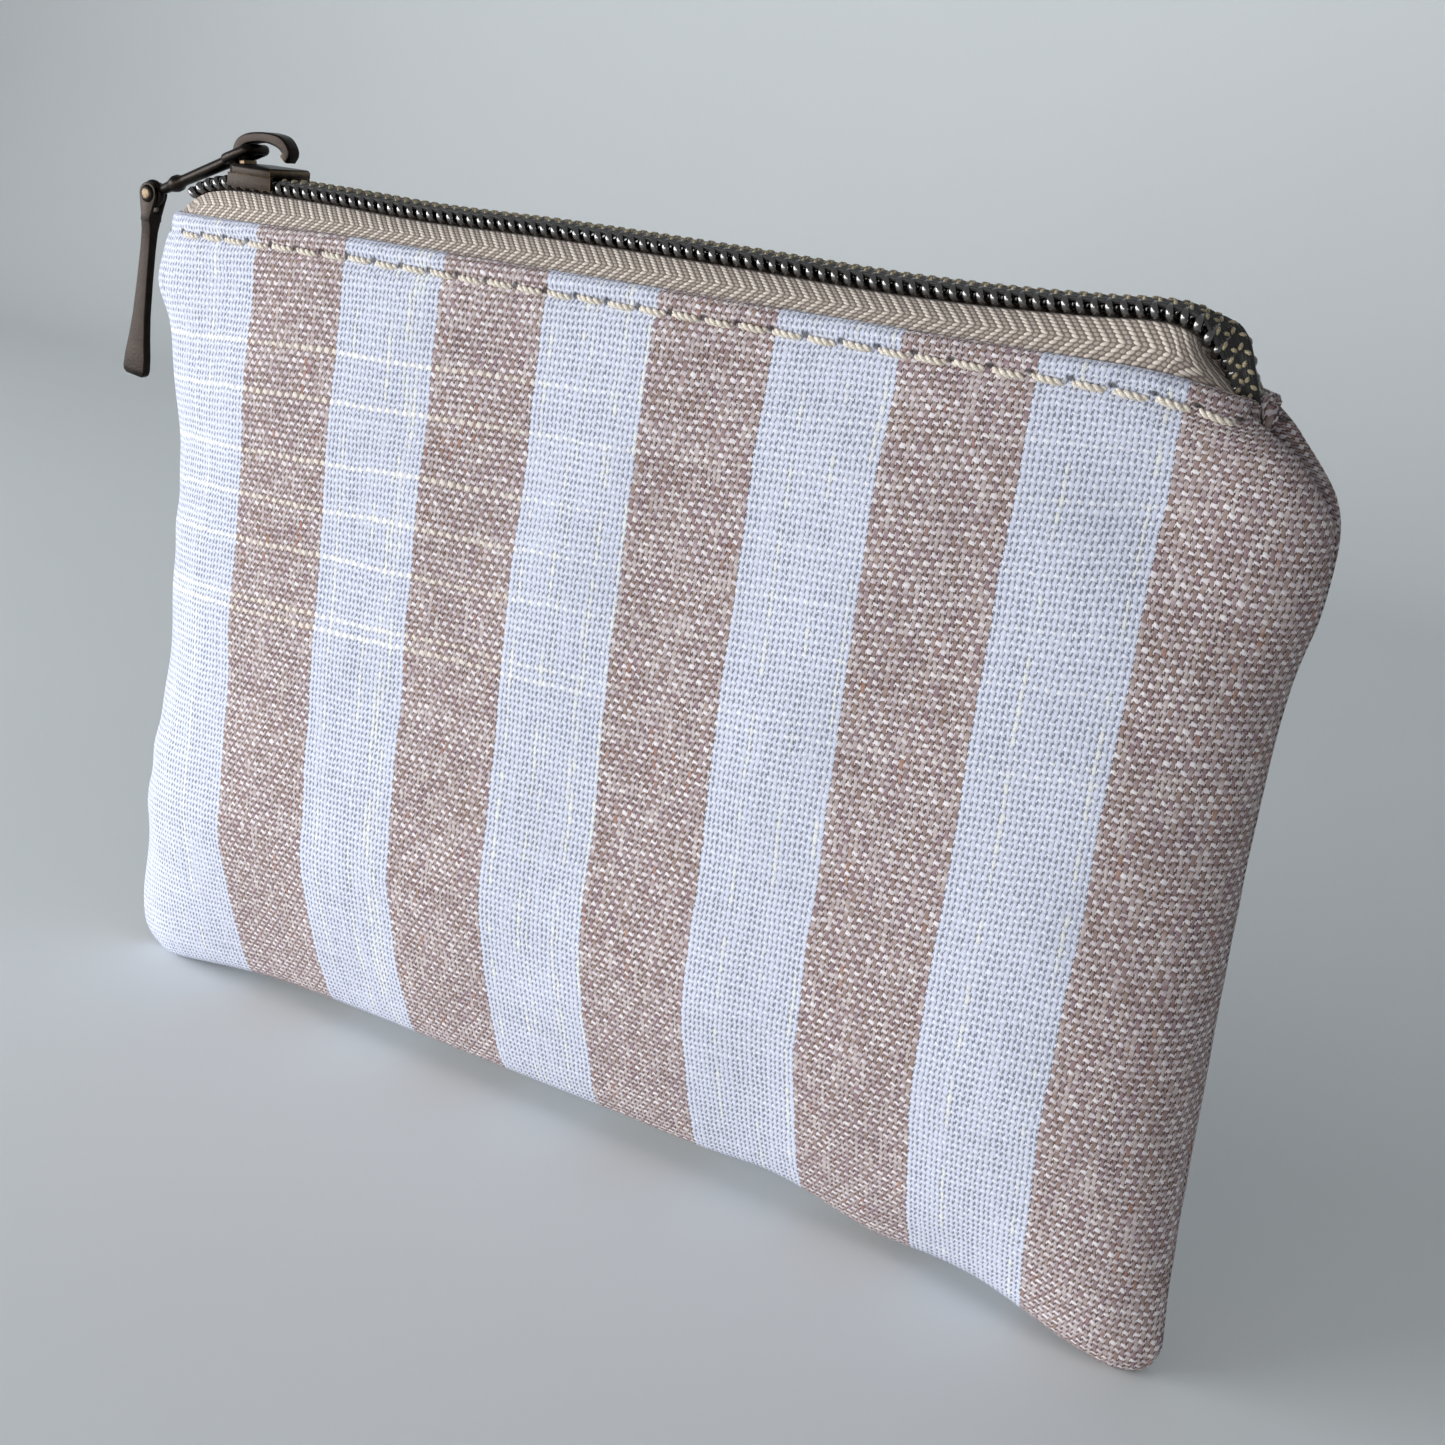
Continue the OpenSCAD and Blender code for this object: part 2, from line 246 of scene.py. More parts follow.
def cloth_object(name, grid, cloth, thickness, material, flip=False):
    """A sheet from a grid of points in millimetres. cloth holds each point's place on the flat cloth."""
    faces = grid_faces(*grid.shape[:2])[:, ::-1 if flip else 1]
    mesh = mesh_from(name, grid.reshape(-1, 3), faces.tolist())
    uv = mesh.uv_layers.new(name="cloth")
    uv.data.foreach_set("uv", cloth.reshape(-1, 2)[faces.ravel()].astype(np.float32).ravel())
    obj = add_object(name, mesh, material)
    solid = obj.modifiers.new("thickness", "SOLIDIFY")
    solid.thickness = thickness * MM
    solid.offset = -1
    apply_modifiers(obj)
    return obj


def tube_parts(paths, radius, sides=8):
    """Vertices and faces of round tubes along paths, with closed ends. radius may be one per point."""
    verts, faces = [], []
    turn = np.linspace(0, 2 * pi, sides, endpoint=False)
    for path in paths:
        path = np.asarray(path, float)
        count = len(path)
        radii = np.broadcast_to(radius, count)
        tangent = tangents(path)
        side = np.cross(tangent[0], [0.03, 0.9, 0.43])  # a direction that no path here runs along
        side /= np.linalg.norm(side)
        start = len(verts)
        for i in range(count):
            side = side - tangent[i] * (side @ tangent[i])
            side /= np.linalg.norm(side)
            other = np.cross(tangent[i], side)
            ring = path[i] + radii[i] * (np.cos(turn)[:, None] * side + np.sin(turn)[:, None] * other)
            verts.extend(ring.tolist())
        for i in range(count - 1):
            for k in range(sides):
                a, b = start + i * sides + k, start + i * sides + (k + 1) % sides
                faces.append([a, b, b + sides, a + sides])
        faces.append([start + k for k in range(sides)][::-1])
        faces.append([start + (count - 1) * sides + k for k in range(sides)])
    return verts, faces


def tube_object(name, paths, radius, material, sides=8):
    return add_object(name, mesh_from(name, *tube_parts(paths, radius, sides)), material)


def put_in_place(obj, node, body="root"):
    """The piece stands in for its CAD node. A front one has its place baked into its points, and others ride on a
    body.
    """
    if not node.startswith("front"):
        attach(obj, body)
    else:
        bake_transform(obj)
        co = np.zeros(len(obj.data.vertices) * 3, np.float32)
        obj.data.vertices.foreach_get("co", co)
    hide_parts(node)


# ---- shader building
def operator(operation, swapped=False):
    """A Python operator that adds a math node."""
    def method(self, other):
        return self.kit.math(operation, *((other, self) if swapped else (self, other)))
    return method


def function(operation):
    """A call that adds a math node."""
    return lambda self, *values: self.math(operation, *values)


class Value:
    """A number in a shader, so that node sums read as sums."""

    def __init__(self, kit, socket):
        self.kit, self.socket = kit, socket

    __add__, __radd__ = operator("ADD"), operator("ADD", True)
    __sub__, __rsub__ = operator("SUBTRACT"), operator("SUBTRACT", True)
    __mul__, __rmul__ = operator("MULTIPLY"), operator("MULTIPLY", True)
    __truediv__ = operator("DIVIDE")
    __gt__, __lt__ = operator("GREATER_THAN"), operator("LESS_THAN")

    def __neg__(self):
        return self * -1.0


def linear(r, g, b):
    """Linear colour from red, green and blue between 0 and 255."""
    return tuple((c / 255 / 12.92) if c < 11 else (((c / 255) + 0.055) / 1.055) ** 2.4 for c in (r, g, b))


class Finish:
    """A material with a Principled shader and short calls that add nodes to it. Colours go from 0 to 255."""

    def __init__(self, name, roughness=0.8, metallic=0.0, sheen=0.0):
        self.material = bpy.data.materials.new(name)
        self.material.use_nodes = True
        self.tree = self.material.node_tree
        self.shader = self.tree.nodes["Principled BSDF"]
        for key, value in (("Roughness", roughness), ("Metallic", metallic), ("Sheen Weight", sheen)):
            self.shader.inputs[key].default_value = value

    def plug(self, socket, value):
        if isinstance(value, Value):
            value = value.socket
        if isinstance(value, bpy.types.NodeSocket):
            self.tree.links.new(value, socket)
        elif isinstance(value, tuple):
            socket.default_value = (*linear(*value), 1)[:len(socket.default_value)]
        else:
            socket.default_value = value

    def node(self, kind, inputs=(), **settings):
        made = self.tree.nodes.new(kind)
        for key, value in settings.items():
            setattr(made, key, value)
        for key, value in dict(inputs).items():
            self.plug(made.inputs[key], value)
        return made

    def math(self, operation, *values):
        return Value(self, self.node("ShaderNodeMath", enumerate(values), operation=operation).outputs[0])

    floor, fraction, absolute = function("FLOOR"), function("FRACT"), function("ABSOLUTE")
    cos, larger, smaller = function("COSINE"), function("MAXIMUM"), function("MINIMUM")

    def root(self, a):
        return self.math("SQRT", self.larger(a, 0.0))

    def band(self, a, low, high):
        """0 below low, 1 above high, smooth between."""
        made = self.node("ShaderNodeMapRange", {"Value": a, "From Min": low, "From Max": high},
                         interpolation_type="SMOOTHSTEP")
        return Value(self, made.outputs[0])

    def vector(self, x, y=0.0, z=0.0):
        return self.node("ShaderNodeCombineXYZ", {"X": x, "Y": y, "Z": z}).outputs[0]

    def on_cloth(self):
        """Place on the flat cloth, in millimetres: across it and along it."""
        uv = self.node("ShaderNodeUVMap", uv_map="cloth").outputs[0]
        parts = self.node("ShaderNodeSeparateXYZ", {0: uv})
        return Value(self, parts.outputs[0]), Value(self, parts.outputs[1])

    def place(self):
        """Place in the object, in millimetres."""
        made = self.node("ShaderNodeVectorMath", {0: self.node("ShaderNodeTexCoord").outputs["Object"]},
                         operation="SCALE")
        made.inputs["Scale"].default_value = 1 / MM
        return made.outputs[0]

    def noise(self, vector, scale=1.0, detail=2.0, roughness=0.5):
        made = self.node("ShaderNodeTexNoise", {"Vector": vector, "Scale": scale, "Detail": detail,
                                                "Roughness": roughness})
        return Value(self, made.outputs["Fac"])

    def mix(self, share, a, b):
        made = self.node("ShaderNodeMix", data_type="RGBA")
        for key, value in (("Factor_Float", share), ("A_Color", a), ("B_Color", b)):
            self.plug(next(s for s in made.inputs if s.identifier == key), value)
        return next(s for s in made.outputs if s.identifier == "Result_Color")

    def shade(self, colour, amount):
        """The colour, times a number."""
        made = self.node("ShaderNodeVectorMath", {0: colour}, operation="SCALE")
        self.plug(made.inputs["Scale"], amount)
        return made.outputs[0]

    def finish(self, colour, roughness=None, height=None, depth_mm=0.1, strength=1.0):
        self.plug(self.shader.inputs["Base Color"], colour)
        if roughness is not None:
            self.plug(self.shader.inputs["Roughness"], roughness)
        if height is not None:
            made = self.node("ShaderNodeBump", {"Height": height, "Strength": strength,
                                                "Distance": depth_mm * MM})
            self.plug(self.shader.inputs["Normal"], made.outputs[0])
        return self.material


# ---- materials
def plain_weave(k, s, t, warp_pitch, weft_pitch, slub_rows=()):
    """Round yarns crossing over and under, with open holes between them. s crosses the warp, t the weft."""
    place = k.place()
    # The yarns wander off their straight lines, over long, middling and short lengths
    wobble = k.noise(place, 1.9, 2.0, 0.6) - 0.5
    s = s + 0.55 * (k.noise(place, 0.10, 1.0) - 0.5) + 0.34 * (k.noise(place, 0.8, 2.0) - 0.5) + 0.2 * wobble
    t = t + 0.8 * (k.noise(place, 0.08, 1.0) - 0.5) + 0.4 * (k.noise(place, 0.7, 2.0) - 0.5) - 0.26 * wobble
    a, b = s / warp_pitch, t / weft_pitch
    column, row = k.floor(a), k.floor(b)
    slub_row = 0.0
    for number in slub_rows:
        slub_row = (k.absolute(row - number) < 0.5) + slub_row
    slub_row = slub_row * (0.22 + 0.78 * k.band(s, 4.0, -24.0))  # they fade out towards the right
    # Half widths of the yarns, as shares of the pitch, with thick and thin stretches and knobs
    warp_own = k.noise(k.vector(column * 3.17, b * 0.045), 1.0, 2.0)
    weft_own = k.noise(k.vector(row * 5.31, a * 0.04, 9.0), 1.0, 2.0)
    knobs = k.noise(place, 2.2, 3.0, 0.65)
    warp_w = 0.31 * (1.0 + 1.5 * (warp_own - 0.45) + 1.3 * (knobs - 0.5))
    weft_w = 0.245 * (1.0 + 1.3 * (weft_own - 0.45) + 1.3 * (knobs - 0.5) + 0.45 * slub_row)
    in_a, in_b = a - column - 0.5, b - row - 0.5
    warp_x, weft_x = in_a / warp_w, (in_b - 0.3 * in_a) / weft_w
    warp_up = k.cos((b - 0.5 + column) * pi)
    weft_up = -k.cos((a - 0.5 + row) * pi)
    warp_on, weft_on = k.absolute(warp_x) < 1.0, k.absolute(weft_x) < 1.0
    warp_round, weft_round = k.root(1.0 - warp_x * warp_x), k.root(1.0 - weft_x * weft_x)
    warp_h = warp_on * (0.45 * warp_round + 0.2 * warp_up + 1.0) - 1.0
    weft_h = weft_on * (0.45 * weft_round + 0.5 * weft_up + 0.3 * slub_row + 1.0) - 1.0
    return SimpleNamespace(
        height=k.larger(k.larger(warp_h, weft_h), -0.35), warp_shows=k.band(warp_h - weft_h, -0.13, 0.13),
        cover=k.band(k.larger(warp_on * warp_round, weft_on * weft_round), 0.05, 0.62),
        slub_row=slub_row, column=column, row=row, place=place, a=a, b=b,
        warp_up=warp_up, weft_up=weft_up, warp_round=warp_round, weft_round=weft_round)


def striped_linen():
    k = Finish("striped_linen", roughness=0.9, sheen=0.1)
    s, t = k.on_cloth()
    w = plain_weave(k, s, t + 0.045 * s, WARP_PITCH, WEFT_PITCH, SLUB_ROWS)
    column, row, a, b, place = w.column, w.row, w.a, w.b, w.place
    # Stripes go by whole yarns. The first white one is a little wider, where it runs into the side seam,
    # and the last brown one runs on into the other seam.
    yarn_s = (column + 0.5) * WARP_PITCH
    yarn_s = yarn_s + (0.62 - 0.14 * k.band(t, 66.0, 84.0)) * k.larger(-55.0 - yarn_s, 0.0)
    stripe = (k.smaller(yarn_s, 4.2 * STRIPE_W) - STRIPE_SHIFT) / (2 * STRIPE_W) + 2.5
    in_brown = k.fraction(stripe) > 0.5
    # Warp: bluish white with cream slubs, or brown with lighter, mauve and rust stretches
    slub_column = k.band(k.noise(k.vector(column * 7.13, 2.0), 1.0, 0.0), 0.60, 0.64)
    slub = slub_column * k.band(k.noise(k.vector(column * 3.3, b * 0.16, 6.0), 1.0, 1.0), 0.42, 0.56)
    white_warp = k.mix(slub, (214, 218, 236), (234, 234, 231))
    fleck = k.noise(k.vector(column * 1.73, b * 0.3, 4.0), 1.0, 3.0, 0.65)
    mauve = k.noise(k.vector(column * 0.9, b * 0.11, 8.0), 1.0, 2.0)
    brown = k.mix(k.band(mauve, 0.38, 0.62), (154, 130, 120), (152, 126, 131))
    brown_warp = k.mix(k.band(fleck, 0.42, 0.68), brown, (204, 190, 186))
    rust = k.noise(k.vector(column * 2.9, b * 0.13, 11.0), 1.0, 2.0)
    brown_warp = k.mix(0.6 * k.band(rust, 0.62, 0.72), brown_warp, (172, 120, 92))
    warp = k.mix(in_brown, white_warp, brown_warp)
    # Painted shade: each warp yarn darker where it dips under the weft and towards its rounded sides
    warp = k.shade(warp, (0.80 + 0.20 * k.band(w.warp_up, -0.8, 0.5)) * (0.76 + 0.24 * w.warp_round))
    # Weft: white yarn, tinted between the brown ones, with painted shade where it dips and across its rounded
    # sides; a few whole rows are cream slubs
    tint = k.noise(k.vector(row * 3.3, a * 0.3, 7.0), 1.0, 2.0)
    tinted = k.mix(k.band(tint, 0.36, 0.64), (196, 178, 178), (238, 228, 228))
    weft = k.mix(in_brown * 0.8, (224, 227, 240), tinted)
    weft = k.mix(w.slub_row, weft, k.mix(in_brown, (248, 246, 240), (228, 219, 208)))
    # Painted shade colours for the weft where it dips under the warp
    dip_shade = k.mix(in_brown, (188, 192, 212), (126, 104, 100))
    weft = k.mix(k.band(w.weft_up, -0.9, -0.2), dip_shade, weft)
    weft = k.shade(weft, 0.78 + 0.22 * w.weft_round)
    # Holes between the yarns, filled with painted shade: bluish grey in the white stripes, and tinted in the brown
    # ones by the brown yarn seen through them
    patch = k.noise(place, 0.5, 3.0, 0.6)
    brown_hole_shade = k.mix(k.band(patch, 0.42, 0.6), (92, 74, 66), (92, 76, 78))
    hole_shade = k.mix(in_brown, (124, 128, 142), brown_hole_shade)
    colour = k.mix(w.cover, hole_shade, k.mix(w.warp_shows, weft, warp))
    # Needle holes of the top stitching: a dent in the bump, and painted shade in the colour
    hole_s = (k.absolute(k.fraction((s - STITCH_SHIFT) / STITCH_PITCH + 0.5) - 0.5)) * STITCH_PITCH
    hole_t = t - STITCH_T
    needle = 1.0 - k.band(k.root(hole_s * hole_s + hole_t * hole_t * 1.6), 0.26, 0.62)
    # Fibres, faint clouds, painted light from the floor that makes the cloth lighter lower down, and painted shade
    # in the needle holes
    fibre = k.noise(place, 5.0, 5.0, 0.75)
    cloud = k.noise(place, 0.12, 3.0, 0.6)
    painted_floor_light = 0.93 + 0.15 * k.band(t, 6.0, 92.0)
    shade = (0.70 + 0.60 * fibre) * (0.95 + 0.10 * cloud) * painted_floor_light * (1.0 - 0.8 * needle)
    height = w.height + 0.6 * fibre - 1.2 * needle
    return k.finish(k.shade(colour, shade), height=height, depth_mm=0.13, strength=0.6)


def lining_cotton():
    k = Finish("lining_cotton", roughness=0.9, sheen=0.2)
    s, t = k.on_cloth()
    pitch = 0.42
    w = plain_weave(k, s, t, pitch, pitch * 1.1)
    # Painted shade where the weave lies low, and a faint tone that varies at random
    painted_shade_and_tone = 0.75 + 0.25 * k.band(w.height, -0.1, 0.7) + 0.12 * (k.noise(w.place, 0.15, 3.0) - 0.5)
    return k.finish(k.shade((224, 217, 206), painted_shade_and_tone), height=w.height, depth_mm=0.06)


def fleece():
    k = Finish("interfacing_fleece", roughness=0.95, sheen=0.4)
    fibres = k.noise(k.place(), 2.4, 5.0, 0.75)
    return k.finish(k.shade((240, 238, 230), 0.82 + 0.3 * fibres), height=fibres, depth_mm=0.25)


def herringbone_tape():
    """Twill in rows along the tape, each shifted by a quarter repeat. The shift turns back every seven rows."""
    k = Finish("zip_tape_herringbone", roughness=0.8, sheen=0.15)
    repeat, row_w, turn_rows, shift = 1.35, 0.36, 7.0, 0.25
    along, across = k.on_cloth()
    place = k.place()
    along = along + 0.3 * (k.noise(place, 0.3, 1.0) - 0.5)
    across = across + 0.16 * (k.noise(place, 0.3, 1.0) - 0.5)
    row = across / row_w
    row_at = k.floor(row)
    half_turn = k.fraction((row_at + 2.5) / (2 * turn_rows)) - 0.5
    turn = k.absolute(half_turn) * (2 * turn_rows * shift)
    way = (half_turn > 0.0) * 2.0 - 1.0
    column = along / repeat - turn
    column_at = k.floor(column)
    in_x, in_y = column - column_at - 0.5, row - row_at - 0.5
    # One light yarn lies over each repeat, and a lower, darker one shows half a repeat further on
    lean = (in_y - 0.8 * way * in_x) / 0.5
    light_h = k.root(1.0 - (in_x / 0.3) * (in_x / 0.3) - lean * lean)
    ground_x = k.fraction(column + 0.5) - 0.5
    ground_lean = (in_y - 0.8 * way * ground_x) / 0.46
    ground_h = 0.5 * k.root(1.0 - (ground_x / 0.2) * (ground_x / 0.2) - ground_lean * ground_lean)
    own = k.noise(k.vector(column_at * 1.9, row_at * 2.7), 1.0, 2.0)
    light = k.mix(own, (198, 184, 170), (232, 220, 207))
    # Painted light and shade: each pale float lighter at one end and darker at the other
    light = k.shade(light, 0.82 + 0.3 * k.band(in_x, 0.25, -0.2))
    # Painted shade: the lower yarn darker where it sinks, darkest in the gaps between the floats
    ground = k.mix(k.band(ground_h, 0.05, 0.4), (122, 110, 102), (176, 161, 149))
    colour = k.mix(k.band(light_h, 0.08, 0.6), ground, light)
    shade = 0.72 + 0.56 * k.noise(place, 5.0, 5.0, 0.75)
    return k.finish(k.shade(colour, shade), height=k.larger(light_h, ground_h), depth_mm=0.14)


def thread(name, colour, dark):
    k = Finish(name, roughness=0.6, sheen=0.2)
    fibre = k.noise(k.place(), 7.0, 4.0, 0.7)
    return k.finish(k.mix(k.band(fibre, 0.35, 0.6), dark, colour), height=fibre, depth_mm=0.03)


def gunmetal():
    k = Finish("coil_gunmetal", roughness=0.2, metallic=1.0)
    smear = k.noise(k.place(), 1.1, 4.0, 0.6)
    colour = k.mix(smear, (104, 102, 102), (150, 147, 144))
    return k.finish(colour, roughness=0.14 + 0.14 * smear, height=smear, depth_mm=0.02)


def antique_brass():
    """Dark antiqued brass, rubbed bright where an edge stands out, with a painted highlight on the rivet's faces.
    """
    k = Finish("antique_brass", roughness=0.34, metallic=1.0)
    place = k.place()
    blotch = k.noise(place, 0.7, 5.0, 0.65)
    fine = k.noise(place, 5.0, 3.0, 0.6)
    wear_and_highlight_mark = Value(k, k.node("ShaderNodeAttribute", attribute_name="edge").outputs["Fac"])
    dark = k.mix(blotch, (24, 21, 20), (50, 43, 38))
    # Bright brass where an edge is worn, and on the rivet's faces, where it is a painted highlight
    wear_and_highlight = k.band(wear_and_highlight_mark + 0.6 * (blotch - 0.5) + 0.4 * (fine - 0.5), 0.55, 1.15)
    colour = k.mix(wear_and_highlight * 0.7, dark, (138, 118, 92))
    return k.finish(colour, roughness=0.22 + 0.2 * blotch + 0.1 * fine, height=fine + blotch, depth_mm=0.03)


LINEN = striped_linen()
LINING = lining_cotton()
FLEECE = fleece()
TAPE = herringbone_tape()
COIL = gunmetal()
COIL_THREAD = thread("coil_thread", (190, 176, 142), (112, 98, 72))
BLACK_THREAD = thread("coil_thread_black", (30, 27, 25), (10, 9, 8))
CREAM_THREAD = thread("sewing_thread", (238, 230, 216), (186, 172, 154))
BRASS = antique_brass()


# ---- the shape of the pouch
RIGHT_LINE, LEFT_LINE = curve_through(RIGHT_OUTLINE), curve_through(LEFT_OUTLINE)


def half_width(z, side):
    """Half width at height z, on the right (side 1) or the left (side -1)."""
    line, corner_r = (RIGHT_LINE, RIGHT_CORNER_R) if side > 0 else (LEFT_LINE, LEFT_CORNER_R)
    width = np.interp(z, line[:, 0], line[:, 1])
    low = np.clip(corner_r - z, 0, corner_r)
    return width - (corner_r - np.sqrt(np.maximum(0, corner_r ** 2 - low ** 2)))


def half_depth(z):
    belly = BASE_Y + (FULL_Y - BASE_Y) * (1 - np.clip(1 - z / FULL_Z, 0, 1) ** 1.25) ** 0.8
    upper = FULL_Y - (FULL_Y - MOUTH_Y) * np.clip((z - FULL_Z) / (FOLD_Z - FULL_Z), 0, 1) ** 1.8
    return np.where(z < FULL_Z, belly, upper)


def fold_drop(x, z, back=False):
    """How far the folded edge dips towards both of its ends. The back's right corner stands up more."""
    left = 0.6 * np.clip((-36 - x) / 26, 0, 1.2) ** 1.2 * ease((z - 76) / 13)
    right = (0.9 if back else 1.25) * np.clip((x - 46) / 10, 0, 1.1) ** 2.0 * ease((z - 84) / 6)
    return left + right


def swing(x, z):
    """The lower corners stand forward of the middle, most of all the right one."""
    right = -4.4 * ease((x - 36) / 27) * np.clip(1 - z / 46, 0, 1) ** 1.4
    left = 1.7 * ease((-x - 42) / 22) * np.clip(1 - z / 34, 0, 1) ** 1.4
    return right - left


def seam_half_gap(z):
    """The two panels meet at the side seams, and part at the top corners, where the zip's ends go in."""
    return 0.3 + 2.0 * ease((z - 75.5) / 10)


def relief(x, z, seed):
    """Gentle swells and dents of the cloth, outwards."""
    swell = 0.34 * ripple(x, z, seed, 34) + 0.12 * ripple(x * 1.6, z, seed + 1, 13)
    # Puckers along the side seams
    edge = 1 - np.abs(x) / CORNER_X
    pucker = 0.22 * np.exp(-np.clip(edge, 0, 1) / 0.07) * np.sin(z * 0.72 + 1.4 * np.sin(z * 0.21 + seed))
    # The stitching pulls a groove between two low ridges, and the cloth puffs between its holes
    stitch_z = FOLD_Z - STITCH_DROP
    puff = 0.05 * np.cos(x * 2 * pi / STITCH_PITCH + 1.1) * bump_at(z, stitch_z, 1.6)
    under_stitch = -0.38 * bump_at(z, stitch_z, 0.7) + 0.22 * bump_at(z, FOLD_Z - 0.9, 0.8) \
        + 0.16 * bump_at(z, stitch_z - 2.2, 1.4) + puff
    # Dents under both upper corners, and lower down at the left
    corner_dent = -1.3 * bump_at(x, 52, 6.5) * bump_at(z, 79, 5.0) \
        - 0.6 * bump_at(x, -54, 7) * bump_at(z, 80, 6)
    low_dent = -0.5 * bump_at(x, -57, 6) * bump_at(z, 64, 7)
    calm = ease((FOLD_Z - z) / 12) * 0.75 + 0.25
    return (swell + pucker) * calm + under_stitch + corner_dent + low_dent


def base_arch(x):
    """The middle of the lower edge is off the ground a little, and waves towards the right."""
    wave = 0.7 * bump_at(x, 23, 6) - 0.95 * bump_at(x, 36, 6) + 0.4 * bump_at(x, 49, 6)
    return 2.9 * np.clip(1 - np.abs(x / 62) ** 5, 0, 1) * (1 + 0.14 * bump_at(x, 9, 20)) + wave


def panel_grid(inset, seed, top_inside=2.6, ear_most=0.0):
    """Points of one panel, as a front one, from the seam under the base, up, over the fold and down inside.

    inset is how far it lies inside the outer face, and ear_most how far its upper right corner stands out.
    """
    shares = np.sin(np.linspace(-1, 1, COLUMNS) * pi / 2)
    full = np.sqrt(np.maximum(0, 1 - np.abs(shares) ** 8))
    rows = []
    for z in FACE_HEIGHTS:
        ear = ear_most * bump_at(z, 89.5, 2.5)
        x = shares * (np.where(shares > 0, half_width(z, 1) + ear, half_width(z, -1)) - inset)
        gap = seam_half_gap(z)
        y = -(gap + np.maximum(0.05, half_depth(z) - gap - inset) * full)
        rows.append(np.stack([x, y, np.full_like(x, z)], axis=1))
    grid = np.array(rows)
    outward = np.cross(np.gradient(grid, axis=1), np.gradient(grid, axis=0))
    outward /= np.maximum(1e-9, np.linalg.norm(outward, axis=2, keepdims=True))
    lift = relief(grid[:, :, 0], grid[:, :, 2], seed)
    lift = lift * np.clip(grid[:, :, 2] / 6, 0, 1) * np.sqrt(np.maximum(0, 1 - np.abs(shares) ** 20))
    grid = grid + outward * lift[:, :, None]
    # Over the fold, and down inside
    top = grid[-1].copy()
    roll_r = np.clip(0.5 * (np.abs(top[:, 1:2]) - 0.35), 0.3, FOLD_R)
    over = [top + roll_r * [0, 1 - cos(a), sin(a)] for a in np.linspace(0, pi, 13)[1:]]
    over += [over[-1] + [0, 0, -top_inside * k / 3] for k in (1, 2, 3)]
    # Under the base, and up inside along the bottom seam
    foot = grid[0]
    under = [np.stack([foot[:, 0], y_share * foot[:, 1] - y_seam, np.full(len(shares), z)], axis=1)
             for y_share, y_seam, z in ((0.02, 0.2, 3.2), (0.02, 0.25, 0.9), (0.28, 0.2, 0.1), (0.65, 0.1, 0.0))]
    grid = np.array(under + list(grid) + over)
    arch = base_arch(grid[:, :, 0]) * np.clip(1 - grid[:, :, 2] / 30, 0, 1) ** 2
    low_share = np.clip(1 - grid[:, :, 2] / 12, 0, 1)
    grid[:, :, 2] -= fold_drop(grid[:, :, 0], grid[:, :, 2], ear_most > 0)
    grid[:, :, 2] += arch + inset * low_share
    return tuck_sides(grid)


def tuck_sides(grid):
    """More columns at each side turn in along the side seam."""
    out = []
    for col, sign in ((0, -1), (-1, 1)):
        edge = grid[:, col]
        tucked = []
        for inward, share in SIDE_TUCKS:
            step = edge.copy()
            step[:, 0] -= sign * inward
            step[:, 1] *= share
            step[:, 2] -= 0.5 * inward * ease((edge[:, 2] - 83) / 4)
            step[:, 2] = np.maximum(step[:, 2], CLOTH_T + 0.05)
            tucked.append(step[:, None])
        out.append(tucked)
    return np.concatenate(out[0][::-1] + [grid] + out[1], axis=1)


def cloth_places(grid, fold_row):
    """Each point's place on the flat cloth: across from the middle, and down from the fold."""
    across, down = distances(grid.swapaxes(0, 1)), distances(grid)
    return np.stack([(across - across[len(across) // 2]).T, down[fold_row] - down], axis=2)


def placed(grid, side="front"):
    """Front or back version of a piece, with the lower corners swung forward."""
    moved = grid * np.array([1, FLIP[side], 1])
    moved[..., 1] += swing(moved[..., 0], moved[..., 2])
    return moved


def add_panel(side):
    grid = panel_grid(0, SEED[side], ear_most=EAR[side])
    cloth = cloth_places(grid, FOLD_ROW)
    obj = cloth_object(side + "_panel_cloth", placed(grid, side), cloth, CLOTH_T, LINEN, FLIP[side] < 0)
    put_in_place(obj, side + "_panel")
    return grid


def add_inner_layer(side, node, slot, inset, thickness, top_z, material):
    grid = panel_grid(inset, SEED[side], top_inside=3.0)
    keep = grid[:, COLUMNS // 2, 2] <= top_z
    keep[FOLD_ROW - 2:] = False
    grid = grid[keep][:, TUCKED:-TUCKED]
    cloth = cloth_places(grid, len(grid) - 1)
    obj = cloth_object(side + "_" + slot, placed(grid, side), cloth, thickness, material, FLIP[side] < 0)
    put_in_place(obj, side + node)


# ---- the zip
CHAIN = curve_through(CHAIN_LINE)
CHAIN_TANGENT = tangents(CHAIN)
CHAIN_LEN = distances(CHAIN)
TAPE_UP = -COIL_HALF_H - WIRE_R - 0.02  # the tape lies under the coil


def chain_length_at(x):
    return float(np.interp(x, CHAIN[:, 0], CHAIN_LEN))


def on_chain(length, y, up):
    """Points at a distance along the zip, y across it and up above its middle, with its rolled right end."""
    length = np.asarray(length, float)
    x, z, way_x, way_z = (np.interp(length, CHAIN_LEN, line) for line in (*CHAIN.T, *CHAIN_TANGENT.T))
    y, up = np.broadcast_to(y, length.shape), np.broadcast_to(up, length.shape)
    before, after = (CHAIN_LEN[-1] - end for end in ROLL_LENGTHS)
    share = ease((length - before) / (after - before))
    roll, y = ROLL_MOST * share, y * (1 - ROLL_PINCH * share)
    y, up = y * np.cos(roll) - up * np.sin(roll), up * np.cos(roll) + y * np.sin(roll)
    return np.stack([x - way_z * up, y, z + way_x * up], axis=-1)


